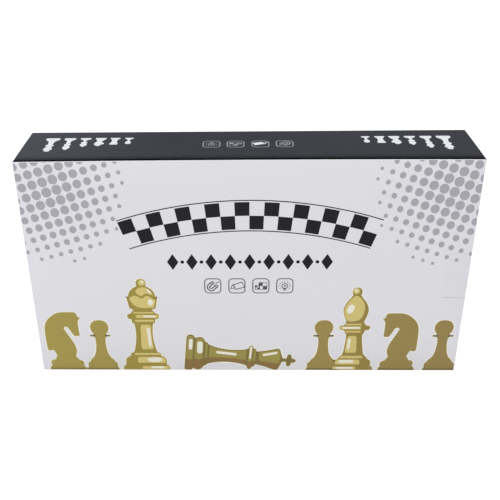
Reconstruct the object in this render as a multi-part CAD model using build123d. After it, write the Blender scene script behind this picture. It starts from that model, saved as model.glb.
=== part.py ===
from build123d import *
import math
import os

# A magnetic chess set for travel and gift boxes, in millimetres with +Z up.
# A printed board lid telescopes over a shallow base tray. Inside lies a wooden board that folds
# in half, with the chessmen held in a slotted foam insert in each half.
# The carton stands on its long narrow side: the printed face looks towards -Y, the lid opens
# towards +Y, and the fold of the board is at the top. The origin is the centre of the underside.

# Playing board: one half is half_width wide and rim_height thick
square = 42.0
squares_across = 8
border = 25.0
rim_height = 28.0
rail_thickness = 9.0
panel_thickness = 3.5
panel_bevel = 0.8
veneer = 0.6
steel_thickness = 0.5
fit_gap = 0.3
fingers = 5
rim_gap = 0.3
spine_gap = 0.3
thumb_radius = 9.0
thumb_depth = 3.4

# Hinges let into the rims beside the fold
hinge_spread = 230.0
hinge_length = 34.0
leaf_width = 5.0
leaf_thickness = 1.0
knuckle_radius = 1.8
knuckle_notch = 2.3
knuckle_gap = 0.2
pin_radius = 0.75
pin_clearance = 0.05
screw_spread = 22.0
screw_head_radius = 1.7
screw_shank_radius = 0.9
screw_length = 9.0

# Magnets that hold the folded board shut
catch_spread = 190.0
catch_radius = 3.5
catch_thickness = 2.5

# Chessmen: height over all and diameter of the foot
king_height = 64.0
king_foot = 21.2
queen_height = 58.0
queen_foot = 21.2
bishop_height = 50.0
bishop_foot = 19.0
knight_height = 46.0
knight_foot = 19.0
rook_height = 41.0
rook_foot = 19.0
pawn_height = 36.0
pawn_foot = 17.0
disc_thickness = 2.0
disc_setback = 0.6
foot_band = 3.0
neck_ratio = 0.42
collar_ratio = 0.68
collar_height = 3.0
knight_thickness = 8.4
tip_radius = 0.6
rook_well = 3.2
rook_gap = 2.6
bishop_ball = 2.0
bishop_cut = 1.2
queen_ball = 2.2
king_dome = 3.0
cross_height = 7.6
cross_arm = 1.3
turned_sides = 12
screw_sides = 8
slot_clearance = 0.3
slot_floor = 1.5
insert_setback = 0.4

# Foam cradle in the base tray
pad_thickness = 8.0
rest_thickness = 5.9
cheek_thickness = 3.3

# Carton board, the running gap of the lid and the free room round the folded board
base_wall = 1.5
lid_wall = 1.5
lid_gap = 0.4
headroom = 14.0
roof_gap = 3.4
tray_rim_drop = 1.2
fold_bevel = 0.5
tape_width = 47.0
tape_reach = 21.6
tape_drop = 3.6
tape_thickness = 0.08

# Sizes that follow from those above
board_length = squares_across * square + 2 * border
half_width = board_length / 2
half_field = squares_across * square / 2
rail_height = rim_height - panel_thickness
finger_height = rail_height / fingers
inner_length = board_length - 2 * rail_thickness
inner_width = half_width - 2 * rail_thickness

base_inner_length = board_length + 2 * (fit_gap + cheek_thickness)
base_length = base_inner_length + 2 * base_wall
lid_inner_length = base_length + 2 * lid_gap
box_width = lid_inner_length + 2 * lid_wall

base_inner_height = rest_thickness + fit_gap + half_width + headroom
base_height = base_inner_height + 2 * base_wall
lid_inner_height = base_height + 2 * lid_gap
box_height = lid_inner_height + 2 * lid_wall

box_depth = base_wall + pad_thickness + fit_gap + 2 * rim_height + rim_gap + roof_gap + lid_wall

front_y = -box_depth / 2
back_y = box_depth / 2
pad_face_y = back_y - base_wall - pad_thickness
back_play_y = pad_face_y - fit_gap
fold_y = back_play_y - rim_height - rim_gap / 2
tray_rim_y = back_play_y + tray_rim_drop
tray_floor_z = lid_wall + lid_gap + base_wall
spine_z = tray_floor_z + rest_thickness + fit_gap + half_width


def block(x0, x1, y0, y1, z0, z1):
    """A rectangular block between two corners."""
    size = Vector(x1 - x0, y1 - y0, z1 - z0)
    return Pos((x0 + x1) / 2, (y0 + y1) / 2, (z0 + z1) / 2) * Box(size.X, size.Y, size.Z)


def rod(radius, start, end):
    """A round rod between two points that share two of their coordinates."""
    start, end = Vector(*start), Vector(*end)
    run = end - start
    return extrude(Plane(origin=start, z_dir=run) * Circle(radius), run.length)


def turned(profile, sides=turned_sides):
    """A turned piece about Z from (radius, height) points, bottom to top. Its round sections are
    drawn with a few flats, so that thirty-two men and their fasteners stay light."""
    turns = [2 * math.pi * index / sides for index in range(sides)]
    rings = [[Vector(radius * math.cos(turn), radius * math.sin(turn), z) for turn in turns]
             for radius, z in profile]
    faces = [Face(Wire.make_polygon(rings[0])), Face(Wire.make_polygon(rings[-1]))]
    for low, high in zip(rings, rings[1:]):
        for index in range(sides):
            corners = [low[index - 1], low[index], high[index], high[index - 1]]
            faces.append(Face(Wire.make_polygon(corners)))
    return Solid(Shell(faces))


# Everything in a half is drawn once: x along the fold, y from the rim plane at 0 to the playing
# face at rim_height, and z down from the spine at 0. The front half is its mirror image.
def place_back(half_shape):
    return Pos(0, fold_y + rim_gap / 2, spine_z) * half_shape


def place_front(half_shape):
    return Pos(0, fold_y - rim_gap / 2, spine_z) * mirror(half_shape, about=Plane.XZ)


def finger_cuts(outer_fingers, length):
    """The gaps of a finger joint at both ends of a rail that lies along x, outer face at z = 0."""
    cuts = []
    for index in range(fingers):
        if (index % 2 == 0) != outer_fingers:
            low = index * finger_height
            for end in (-length / 2, length / 2 - rail_thickness):
                cuts.append(block(end, end + rail_thickness, low, low + finger_height,
                                  -rail_thickness, 0))
    return cuts


def hinge_places():
    return (-hinge_spread / 2, hinge_spread / 2)


def catch_places():
    return (-catch_spread / 2, catch_spread / 2)


def screws():
    """Countersunk wood screws, two to a leaf, their heads flush with the rim."""
    z = -knuckle_notch - leaf_width / 2
    cone = screw_head_radius - screw_shank_radius
    one = Rot(90, 0, 0) * turned([(screw_shank_radius, -screw_length),
                                  (screw_shank_radius, -cone), (screw_head_radius, 0)],
                                 screw_sides)
    return [Pos(hinge + side * screw_spread / 2, 0, z) * one
            for hinge in hinge_places() for side in (-1, 1)]


def side_rails():
    """The two long rails: one beside the fold and one at the free edge."""
    plain = block(-board_length / 2, board_length / 2, 0, rail_height, -rail_thickness, 0)
    plain -= finger_cuts(True, board_length)
    reach = hinge_length / 2 + knuckle_gap
    spine = plain
    for hinge in hinge_places():
        spine -= block(hinge - reach, hinge + reach, 0, knuckle_notch, -knuckle_notch, 0)
        spine -= block(hinge - reach, hinge + reach, 0, leaf_thickness,
                       -knuckle_notch - leaf_width - knuckle_gap, -knuckle_notch)
    spine -= screws()
    free = Pos(0, 0, rail_thickness - half_width) * plain
    catch_z = rail_thickness / 2 - half_width
    free -= [rod(catch_radius, (x, 0, catch_z), (x, catch_thickness, catch_z))
             for x in catch_places()]
    free -= rod(thumb_radius, (0, 0, -half_width), (0, 0, thumb_depth - half_width))
    return Compound(children=[spine, free])


def end_rails():
    """The two short rails, whose fingers pass between those of the long ones."""
    lying = block(-half_width / 2, half_width / 2, 0, rail_height, -rail_thickness, 0)
    lying -= finger_cuts(False, half_width)
    right = Pos(board_length / 2, 0, -half_width / 2) * Rot(0, 90, 0) * lying
    left = Pos(-board_length / 2, 0, -half_width / 2) * Rot(0, -90, 0) * lying
    return Compound(children=[right, left])


def panel():
    """The plywood panel that covers the rails, with a shallow bed for the inlaid squares."""
    board = block(-board_length / 2, board_length / 2, rail_height, rim_height, -half_width, 0)
    face = board.faces().sort_by(Axis.Y)[-1]
    outer = [edge for edge in face.edges() if edge.center().Z < -fit_gap]
    board = chamfer(outer, panel_bevel)
    bed = block(-half_field, half_field, rim_height - veneer, rim_height, -half_field, 0)
    return board - bed


def squares(dark):
    """One colour of the inlaid veneer squares. The right-hand corner square is a light one."""
    tiles = []
    for column in range(squares_across):
        for row in range(squares_across // 2):
            if ((column + row) % 2 == 0) == dark:
                x = -half_field + column * square
                z = -row * square
                tiles.append(block(x, x + square, rim_height - veneer, rim_height, z - square, z))
    return Compound(children=tiles)


def steel_sheet():
    """The tinned sheet under the panel that the chessmen's magnets pull on."""
    x = inner_length / 2 - fit_gap
    return block(-x, x, rail_height - steel_thickness, rail_height,
                 fit_gap + rail_thickness - half_width, -rail_thickness - fit_gap)


def knuckle(start, end):
    """A rolled knuckle round the pin, with the tab that joins it to its leaf."""
    across = Plane(origin=(start, -rim_gap / 2, spine_gap), x_dir=(0, 1, 0), z_dir=(1, 0, 0))
    tab_height = knuckle_notch + spine_gap
    tab = Pos((rim_gap + leaf_thickness) / 2, -tab_height / 2) * Rectangle(leaf_thickness, tab_height)
    section = Circle(knuckle_radius) + tab - Circle(pin_radius + pin_clearance)
    return extrude(across * section, end - start)


def leaf(holds_ends):
    """One half's two hinge leaves, with the outer knuckles or the middle one."""
    third = hinge_length / 3
    leaves = []
    for hinge in hinge_places():
        low = hinge - hinge_length / 2
        plate = block(low, low + hinge_length, 0, leaf_thickness,
                      -knuckle_notch - leaf_width, -knuckle_notch)
        for index in (0, 2) if holds_ends else (1,):
            start = low + index * third + (knuckle_gap / 2 if index > 0 else 0)
            end = low + (index + 1) * third - (knuckle_gap / 2 if index < 2 else 0)
            plate += knuckle(start, end)
        leaves.append(plate - screws())
    return Compound(children=leaves)


def hinge_pins():
    pins = [rod(pin_radius, (hinge - hinge_length / 2, fold_y, spine_z + spine_gap),
                (hinge + hinge_length / 2, fold_y, spine_z + spine_gap))
            for hinge in hinge_places()]
    return Compound(children=pins)


def hinge_screws():
    return Compound(children=screws())


def catch_magnets():
    z = rail_thickness / 2 - half_width
    return Compound(children=[rod(catch_radius, (x, 0, z), (x, catch_thickness, z))
                              for x in catch_places()])


# Chessmen stand on z = 0 with their axis along z. The magnetic disc is under the turned foot.
def stem(foot, collar_z):
    """Profile of the foot, waist and collar that every turned chessman shares."""
    radius = foot / 2
    return [(radius, disc_thickness), (radius, disc_thickness + foot_band),
            (radius * neck_ratio, collar_z - collar_height),
            (radius * collar_ratio, collar_z - collar_height / 3), (radius * neck_ratio, collar_z)]


def pawn():
    collar_z = pawn_height * 0.6
    head = pawn_height - collar_z
    ball = head * 0.46
    return turned([*stem(pawn_foot, collar_z), (ball, collar_z + head * 0.36),
                   (ball * 0.86, collar_z + head * 0.74), (tip_radius, pawn_height)])


def rook():
    """A tower whose parapet has four gaps round a shallow well."""
    collar_z = rook_height * 0.66
    wall = rook_foot * 0.38
    well_z = rook_height - rook_well
    tower = turned([*stem(rook_foot, collar_z)[:3], (wall, collar_z), (wall, rook_height)])
    tower -= turned([(wall * 0.62, well_z), (wall * 0.62, rook_height)])
    crossing = block(-wall, wall, -rook_gap / 2, rook_gap / 2, well_z, rook_height)
    return tower - crossing - Rot(0, 0, 90) * crossing


def bishop():
    """A mitre with its slanting cut, closed by a small ball."""
    collar_z = bishop_height * 0.58
    mitre_top = bishop_height - 2 * bishop_ball
    mitre = bishop_foot * 0.3
    body = turned([*stem(bishop_foot, collar_z), (mitre, collar_z + mitre),
                   (bishop_ball * 0.6, mitre_top), (bishop_ball, mitre_top + bishop_ball),
                   (tip_radius, bishop_height)])
    cut = Rot(0, -35, 0) * block(0, 2 * mitre, -mitre, mitre, 0, bishop_cut)
    return body - Pos(bishop_ball * 0.6, 0, collar_z + mitre) * cut


def queen():
    """A flared coronet round a low dome with a ball."""
    collar_z = queen_height * 0.68
    crown = queen_foot * 0.33
    rim_z = queen_height - 3 * queen_ball
    return turned([*stem(queen_foot, collar_z), (crown, rim_z),
                   (queen_ball * 0.7, rim_z + queen_ball), (queen_ball, rim_z + 2 * queen_ball),
                   (tip_radius, queen_height)])


def king():
    """A flared head whose dome carries a cross."""
    collar_z = king_height * 0.66
    crown = king_foot * 0.32
    arm, bar = cross_arm, cross_height * 0.42
    dome_z = king_height - cross_height
    bar_z = dome_z + cross_height * 0.55
    body = turned([*stem(king_foot, collar_z), (crown, dome_z - king_dome),
                   (arm * 1.5, dome_z)])
    body += block(-arm, arm, -arm, arm, dome_z - arm, king_height)
    return body + block(-bar, bar, -arm, arm, bar_z - arm, bar_z + arm)


def knight():
    """A horse's head and neck, cut from the flat and standing on a turned foot."""
    shoulder_z = disc_thickness + 2 * foot_band
    reach = knight_foot / 2
    foot = turned([(reach, disc_thickness), (reach, disc_thickness + foot_band),
                   (reach * 0.72, shoulder_z)])
    tall = knight_height - shoulder_z
    rump, chest = (-reach * 0.66, 0), (reach * 0.66, 0)
    ear, brow = (-reach * 0.12, tall), (reach * 0.12, tall * 0.86)
    nose, lip = (reach * 0.92, tall * 0.54), (reach * 0.72, tall * 0.42)
    jaw = (reach * 0.26, tall * 0.5)
    mane = ThreePointArc(rump, (-reach * 0.86, tall * 0.55), ear)
    face = Polyline(ear, brow, nose, lip, jaw)
    throat = ThreePointArc(jaw, (reach * 0.28, tall * 0.22), chest)
    outline = make_face([mane, face, throat, Line(chest, rump)])
    head = extrude(Plane.XZ * outline, knight_thickness / 2, both=True)
    return foot + Pos(0, 0, shoulder_z) * head


chessmen = {
    "king": (king, king_height, king_foot, (4,)),
    "queen": (queen, queen_height, queen_foot, (3,)),
    "bishops": (bishop, bishop_height, bishop_foot, (2, 5)),
    "knights": (knight, knight_height, knight_foot, (1, 6)),
    "rooks": (rook, rook_height, rook_foot, (0, 7)),
    "pawns": (pawn, pawn_height, pawn_foot, range(squares_across)),
}

# Two rows lie in each insert: the tall men nearer the fold, the pawns nearer the free edge
row_gap = (inner_width - king_height - pawn_height) / 3
tall_row_z = -rail_thickness - row_gap - king_height
pawn_row_z = tall_row_z - row_gap - pawn_height
column_pitch = inner_length / squares_across


def seats(kind):
    """Where each man of a kind lies in its half, on the floor of its slot: his foot's centre."""
    _, _, foot, columns = chessmen[kind]
    z = pawn_row_z if kind == "pawns" else tall_row_z
    y = rail_height - steel_thickness - slot_floor - slot_clearance - foot / 2
    middle = (squares_across - 1) / 2
    return [(column_pitch * (column - middle), y, z) for column in columns]


def men(kind):
    shape = chessmen[kind][0]()
    return Compound(children=[Pos(*seat) * shape for seat in seats(kind)])


def magnet_discs():
    """The felted magnetic disc glued under each of a side's sixteen men."""
    discs = []
    for kind, (_, _, foot, _) in chessmen.items():
        for x, y, z in seats(kind):
            radius = foot / 2 - disc_setback
            discs.append(Pos(x, y, z) * turned([(radius, 0), (radius, disc_thickness)]))
    return Compound(children=discs)


def insert():
    """The slotted foam that fills a half and grips its men."""
    x = inner_length / 2 - fit_gap
    foam = block(-x, x, insert_setback, rail_height - steel_thickness,
                 fit_gap + rail_thickness - half_width, -rail_thickness - fit_gap)
    slots = []
    for kind, (_, height, foot, _) in chessmen.items():
        side = foot / 2 + slot_clearance
        for x, y, z in seats(kind):
            slots.append(block(x - side, x + side, 0, y + side,
                               z - slot_clearance, z + height + slot_clearance))
    return foam - slots


# Carton and packing
def lid():
    """The deep printed lid: front panel and four walls, open towards +Y."""
    shell = block(-box_width / 2, box_width / 2, front_y, back_y, 0, box_height)
    folds = [edge for edge in shell.edges() if edge.center().Y < back_y - lid_wall]
    shell = chamfer(folds, fold_bevel)
    return shell - block(-lid_inner_length / 2, lid_inner_length / 2, front_y + lid_wall, back_y,
                         lid_wall, lid_wall + lid_inner_height)


def base_tray():
    """The shallow tray that closes the back, with low walls that the lid slides over."""
    bottom = lid_wall + lid_gap
    tray = block(-base_length / 2, base_length / 2, tray_rim_y, back_y, bottom,
                 bottom + base_height)
    return tray - block(-base_inner_length / 2, base_inner_length / 2, tray_rim_y,
                        back_y - base_wall, tray_floor_z, tray_floor_z + base_inner_height)


def foam_cradle():
    """The foam glued into the tray: a back pad, a rest under the board and a cheek at each end."""
    x = base_inner_length / 2
    front = front_y + lid_wall + roof_gap
    top = tray_floor_z + base_inner_height
    cradle = block(-x, x, front, back_y - base_wall, tray_floor_z, top)
    inside = board_length / 2 + fit_gap
    return cradle - block(-inside, inside, front, pad_face_y, tray_floor_z + rest_thickness, top)


def sealing_tape():
    """The clear film over the right-hand end, turned on to the printed face."""
    middle = box_height / 2 - tape_drop
    low, high = middle - tape_width / 2, middle + tape_width / 2
    edge = box_width / 2
    film = block(edge - tape_reach, edge + tape_thickness, front_y - tape_thickness, back_y,
                 low, high)
    return film - block(edge - tape_reach, edge, front_y, back_y, low, high)


parts = {
    "lid": lid(),
    "sealing_tape": sealing_tape(),
    "base_tray": base_tray(),
    "foam_cradle": foam_cradle(),
    "hinge_pins": hinge_pins(),
    "back_hinge_leaves": place_back(leaf(True)),
    "front_hinge_leaves": place_front(leaf(False)),
}

# The front half mirrors the back one, so its dark squares lie where the back half's are light
for name, place, side in (("back", place_back, "white"), ("front", place_front, "black")):
    parts[f"{name}_side_rails"] = place(side_rails())
    parts[f"{name}_end_rails"] = place(end_rails())
    parts[f"{name}_panel"] = place(panel())
    parts[f"{name}_dark_squares"] = place(squares(name == "back"))
    parts[f"{name}_light_squares"] = place(squares(name == "front"))
    parts[f"{name}_steel_sheet"] = place(steel_sheet())
    parts[f"{name}_insert"] = place(insert())
    parts[f"{name}_hinge_screws"] = place(hinge_screws())
    parts[f"{name}_catch_magnets"] = place(catch_magnets())
    parts[f"{side}_magnet_discs"] = place(magnet_discs())
    for kind in chessmen:
        parts[f"{side}_{kind}"] = place(men(kind))

os.makedirs("parts", exist_ok=True)
for name, shape in parts.items():
    export_step(shape, f"parts/{name}.step")
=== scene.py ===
from math import asin, atan2, cos, pi, radians, sin
import bmesh
import bpy
from mathutils import Matrix, Vector


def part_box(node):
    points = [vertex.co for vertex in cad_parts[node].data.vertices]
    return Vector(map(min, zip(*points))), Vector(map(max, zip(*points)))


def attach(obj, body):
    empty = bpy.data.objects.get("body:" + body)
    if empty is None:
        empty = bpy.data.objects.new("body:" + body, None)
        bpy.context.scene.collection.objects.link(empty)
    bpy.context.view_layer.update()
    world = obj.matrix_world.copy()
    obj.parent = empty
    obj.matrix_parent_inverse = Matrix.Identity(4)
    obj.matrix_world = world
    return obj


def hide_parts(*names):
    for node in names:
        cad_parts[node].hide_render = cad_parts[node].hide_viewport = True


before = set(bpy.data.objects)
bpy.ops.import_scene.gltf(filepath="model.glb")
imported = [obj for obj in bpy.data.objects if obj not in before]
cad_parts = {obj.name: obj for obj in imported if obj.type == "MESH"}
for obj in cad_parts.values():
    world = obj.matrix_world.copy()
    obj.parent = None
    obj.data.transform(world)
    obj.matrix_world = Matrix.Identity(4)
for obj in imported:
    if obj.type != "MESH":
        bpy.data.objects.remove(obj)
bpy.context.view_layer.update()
MM = 0.001

# Camera: a short telephoto in front of the carton and above it, tipped down by 27.9 degrees.
# Its place, lens and small shift were worked out from the six corners of the carton that show.
PICTURE = 500
FOCAL_PIXELS = 755.49
SENSOR_MM = 36.0
EYE = Vector((-3.79, -629.35, 456.69)) * MM
YAW, PITCH, ROLL = -0.031946, 0.486685, -0.017729
SHIFT_PIXELS = (28.25, -8.41)


def place_object(name, data):
    """Puts a mesh, lamp or camera into the scene."""
    made = bpy.data.objects.new(name, data)
    bpy.context.scene.collection.objects.link(made)
    return made


lens = bpy.data.cameras.new("camera")
lens.sensor_width = SENSOR_MM
lens.lens = FOCAL_PIXELS * SENSOR_MM / PICTURE
lens.shift_x, lens.shift_y = (pixels / PICTURE for pixels in SHIFT_PIXELS)
lens.clip_start, lens.clip_end = 0.01, 20
camera = place_object("camera", lens)
ahead = Vector((sin(YAW) * cos(PITCH), cos(YAW) * cos(PITCH), -sin(PITCH)))
right = Vector((cos(YAW), -sin(YAW), 0))
above = right.cross(ahead)
level = Matrix((right, above, -ahead)).transposed()
camera.matrix_world = Matrix.Translation(EYE) @ (level @ Matrix.Rotation(ROLL, 3, "Z")).to_4x4()
bpy.context.scene.camera = camera


# Floor and light: a white sweep under even studio light, as for a catalogue cut-out.
# What the camera sees of the open floor is plain white, and the carton keeps a soft shadow on it.
FLOOR_WHITE, FLOOR_SEEN, FLOOR_GLOW, FLOOR_REACH = "#f2f2f2", "#a8a8a8", 0.8, 6.0
SKY_STRENGTH = 0.74
SQUARE_CORNERS = ((-1, -1), (1, -1), (1, 1), (-1, 1))


def colour(hex_code):
    """An sRGB hex colour as linear RGBA."""
    parts = [int(hex_code[i:i + 2], 16) / 255 for i in (1, 3, 5)]
    return [p / 12.92 if p <= 0.04045 else ((p + 0.055) / 1.055) ** 2.4 for p in parts] + [1]


def plug(tree, node, inputs):
    """Sets inputs of a node. Each is a value, a socket, or another node for its main output."""
    for name, value in inputs.items():
        if isinstance(value, bpy.types.Node):
            value = value.outputs[2 if value.bl_idname == "ShaderNodeMix" else 0]
        if isinstance(value, bpy.types.NodeSocket):
            tree.links.new(value, node.inputs[name])
        else:
            node.inputs[name].default_value = value
    return node


def add(tree, kind, inputs=None, **settings):
    """Adds a node with its settings and its inputs."""
    made = tree.nodes.new("ShaderNode" + kind)
    for key, value in settings.items():
        setattr(made, key, value)
    return plug(tree, made, inputs or {})


def material(name):
    """A new material with its node tree, its shader and object coordinates in millimetres."""
    made = bpy.data.materials.new(name)
    made.use_nodes = True
    tree = made.node_tree
    place = add(tree, "TexCoord").outputs["Object"]
    mm = add(tree, "Mapping", {"Vector": place, "Scale": (1000,) * 3})
    return made, tree, tree.nodes["Principled BSDF"], mm


def seen_by_eye(tree):
    """1 for rays from the camera, by way of a mirror or through glass, and 0 for light."""
    ray = add(tree, "LightPath").outputs
    either = add(tree, "Math", {0: ray["Is Camera Ray"], 1: ray["Is Glossy Ray"]},
        operation="MAXIMUM")
    return add(tree, "Math", {0: either, 1: ray["Is Transmission Ray"]}, operation="MAXIMUM")


world = bpy.data.worlds.new("studio")
bpy.context.scene.world = world
world.use_nodes = True
tree = world.node_tree
sky_level = add(tree, "MapRange", {"Value": seen_by_eye(tree), "To Min": SKY_STRENGTH,
    "To Max": 1.0})
plug(tree, tree.nodes["Background"], {"Color": (1, 1, 1, 1), "Strength": sky_level})

floor_mesh = bpy.data.meshes.new("floor")
floor_mesh.from_pydata([(x * FLOOR_REACH, y * FLOOR_REACH, 0) for x, y in SQUARE_CORNERS], [],
    [(0, 1, 2, 3)])
floor = place_object("floor", floor_mesh)
floor_paint, tree, shader, mm = material("matt_white_floor")
eye = seen_by_eye(tree)
lit = add(tree, "Mix", {0: eye, 6: colour(FLOOR_WHITE), 7: colour(FLOOR_SEEN)}, data_type="RGBA")
glow = add(tree, "MapRange", {"Value": eye, "To Max": FLOOR_GLOW})
plug(tree, shader, {"Base Color": lit, "Emission Strength": glow, "Emission Color": (1, 1, 1, 1),
    "Roughness": 0.9, "Specular IOR Level": 0.0})
floor_mesh.materials.append(floor_paint)

for name, place, aim, size, watts in (("key_light", (-0.7, -1.1, 1.7), (0, 0, 0.1), 1.4, 12.0),
        ("top_light", (0.2, 0.3, 2.0), (0, 0, 0), 1.6, 8.0)):
    lamp = bpy.data.lights.new(name, "AREA")
    lamp.size, lamp.energy = size, watts
    hung = place_object(name, lamp)
    hung.location = place
    hung.rotation_euler = (Vector(aim) - Vector(place)).to_track_quat("-Z", "Y").to_euler()

bpy.context.scene.view_settings.view_transform = "Standard"


# Lid: grey board 1.5 mm thick, wrapped in printed art paper under a matt film.
# The face is left white, the walls are printed near-black, and the wrap turns in at the rim.
FOLD_RADIUS = 0.8 * MM
TURN_IN = 14 * MM
BOW = 0.8 * MM
BOARD = 1.5 * MM
FILM = 0.06 * MM
ON_PLANE = 0.01 * MM
lid_low, lid_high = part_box("lid")
width, depth, height = (lid_high[i] - lid_low[i] for i in range(3))
skin_low, skin_high = lid_low + Vector((FILM,) * 3), lid_high - Vector((FILM, 0, FILM))


def settle(point):
    """The top sags a little towards its front corners, where the lid is stiffest."""
    across = (2 * point.x / width) ** 2
    up = max(0.0, point.z / height) ** 8
    forward = min(1.0, max(0.0, (lid_high.y - point.y) / depth)) ** 2
    return Vector((point.x, point.y, point.z - BOW * across * up * forward))


def ease(bm, edges, radius, steps=3):
    """Rounds edges over. Returns the corners of the rounding."""
    return bmesh.ops.bevel(bm, geom=list(edges), offset=radius, segments=steps, profile=0.5,
        affect="EDGES", clamp_overlap=True)["verts"]


def open_box(bm, low, high, open_y, radius):
    """Adds a box with rounded folds and no wall on its open side. Returns its open edges."""
    verts = bmesh.ops.create_cube(bm, size=1.0)["verts"]
    middle, size = (low + high) / 2, high - low
    for v in verts:
        v.co = Vector([middle[i] + v.co[i] * size[i] for i in range(3)])
    faces = {f for v in verts for f in v.link_faces}
    back = [f for f in faces if abs(f.calc_center_median().y - open_y) < 1e-6]
    rim = {e for f in back for e in f.edges}
    bmesh.ops.delete(bm, geom=back, context="FACES_ONLY")
    edges = {e for v in verts for e in v.link_edges} - rim
    rounded = {f for v in ease(bm, edges, radius) for f in v.link_faces}
    faces = rounded | {f for f in faces if f.is_valid}
    return {e for f in faces for e in f.edges if len(e.link_faces) == 1}


def slice_through(bm, axis, places, drop=0):
    """Cuts every face of a mesh across one axis, so that it can bend or change material there.
    With drop at 1 or -1 it also deletes what lies past the cut on that side."""
    facing = [(drop or 1) * (axis == i) for i in range(3)]
    for place in places:
        everything = list(bm.verts) + list(bm.edges) + list(bm.faces)
        bmesh.ops.bisect_plane(bm, geom=everything, plane_co=[place] * 3, plane_no=facing,
            clear_outer=drop != 0)


def board_box(low, high, open_y):
    """A grey-board box with one open side: outside, inside, and the rim that joins them."""
    bm = bmesh.new()
    outer = open_box(bm, low, high, open_y, FOLD_RADIUS)
    outer_faces = set(bm.faces)
    inner_low, inner_high = low + Vector((BOARD,) * 3), high - Vector((BOARD,) * 3)
    if open_y > (low.y + high.y) / 2:
        inner_high.y = high.y
    else:
        inner_low.y = low.y
    inner = open_box(bm, inner_low, inner_high, open_y, FOLD_RADIUS / 3)
    bmesh.ops.reverse_faces(bm, faces=list(set(bm.faces) - outer_faces))
    bmesh.ops.bridge_loops(bm, edges=list(outer | inner))
    return bm, inner_low, inner_high


def make_object(name, bm, paints, body):
    """Turns a mesh into an object, paints it and puts it on a body."""
    mesh = bpy.data.meshes.new(name)
    for paint in paints:
        mesh.materials.append(paint)
    bm.to_mesh(mesh)
    bm.free()
    made = place_object(name, mesh)
    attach(made, body)
    return made


def finish_mesh(name, bm, paints, body, smooth_angle=35):
    """Turns faces outwards, shades them smooth up to an angle, and makes the object."""
    bmesh.ops.recalc_face_normals(bm, faces=bm.faces)
    bm.normal_update()
    for edge in bm.edges:
        edge.smooth = edge.is_manifold and edge.calc_face_angle(0) < radians(smooth_angle)
    for face in bm.faces:
        face.smooth = True
    return make_object(name, bm, paints, body)


TINT = {"data_type": "RGBA", "blend_type": "MULTIPLY"}


def art_paper(name, hex_code, cloud, tooth=0.25, rough=0.5, gloss=0.3):
    """Printed art paper under a matt film: even ink with faint clouds from the press, a paper
    tooth drawn at 0.5 mm, coarser than it is, so that it shows, and a dull sheen."""
    made, tree, shader, mm = material(name)
    clouds = add(tree, "TexNoise", {"Vector": mm, "Scale": 0.012, "Detail": 4.0})
    speck = add(tree, "TexNoise", {"Vector": mm, "Scale": 2.0, "Detail": 2.0})
    both = add(tree, "Math", {0: clouds, 1: speck})
    tone = add(tree, "MapRange", {"Value": both, "From Min": 0.7, "From Max": 1.3,
        "To Min": 1 - cloud, "To Max": 1 + cloud})
    ink = add(tree, "Mix", {0: 1.0, 6: colour(hex_code), 7: tone}, **TINT)
    bump = add(tree, "Bump", {"Height": speck, "Strength": tooth, "Distance": 0.04 * MM})
    rub = add(tree, "MapRange", {"Value": clouds, "To Min": rough - 0.05, "To Max": rough + 0.07})
    plug(tree, shader, {"Base Color": ink, "Normal": bump, "Roughness": rub,
        "Specular IOR Level": gloss})
    return made


white_paper = art_paper("white_art_paper", "#dddde2", 0.012)
liner_paper = art_paper("white_liner_paper", "#dad9d4", 0.02, 0.5, 0.8, 0.2)
# The black paper's colour is its near-black ink lightened to grey, a painted sheen of the matt film,
# and its own gloss is set almost to nothing.
black_paper = art_paper("black_art_paper", "#383a40", 0.10, 0.3, 0.5, 0.006)

# Painted shade and sheen: the black paper is painted darker towards the front fold, down to black at
# the fold, and painted lighter towards the left end. The corners are rubbed to grey board.
tree = black_paper.node_tree
shader = tree.nodes["Principled BSDF"]
ink = shader.inputs["Base Color"].links[0].from_socket
place = add(tree, "TexCoord").outputs["Object"]
along_x, along_y, along_z = add(tree, "SeparateXYZ", {"Vector": place}).outputs
# Painted shade: black within 3 mm of the front fold, fading out by 13 mm behind it.
score = add(tree, "MapRange", {"Value": along_y, "From Min": lid_low.y + 3 * MM,
    "From Max": lid_low.y + 13 * MM})
painted_fold_shade = add(tree, "Math", {0: score, 1: 0.5}, operation="POWER")
# Painted sheen: the black is half again as light at the left end, fading out over 130 mm.
thin = add(tree, "MapRange", {"Value": along_x, "From Min": lid_low.x,
    "From Max": lid_low.x + 130 * MM, "To Min": 1.5, "To Max": 1.0})
painted_shade_and_sheen = add(tree, "Math", {0: painted_fold_shade, 1: thin}, operation="MULTIPLY")
ink_with_painted_light = add(tree, "Mix", {0: 1.0, 6: ink, 7: painted_shade_and_sheen}, **TINT)
from_middle = add(tree, "Math", {0: along_x}, operation="ABSOLUTE")
near_end = add(tree, "MapRange", {"Value": from_middle, "From Min": width / 2 - 1.6 * MM,
    "From Max": width / 2 - 0.2 * MM})
near_top = add(tree, "MapRange", {"Value": along_z, "From Min": height - 1.2 * MM,
    "From Max": height - 0.1 * MM})
corner = add(tree, "Math", {0: near_end, 1: near_top}, operation="MULTIPLY")
rubbing = add(tree, "TexNoise", {"Vector": place, "Scale": 240.0, "Detail": 5.0, "Roughness": 0.7})
worn = add(tree, "MapRange", {"Value": rubbing, "From Min": 0.52, "From Max": 0.66, "To Max": 0.8})
amount = add(tree, "Math", {0: corner, 1: worn}, operation="MULTIPLY")
rubbed = add(tree, "Mix", {0: amount, 6: ink_with_painted_light, 7: colour("#8c8a88")}, data_type="RGBA")
plug(tree, shader, {"Base Color": rubbed})

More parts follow.
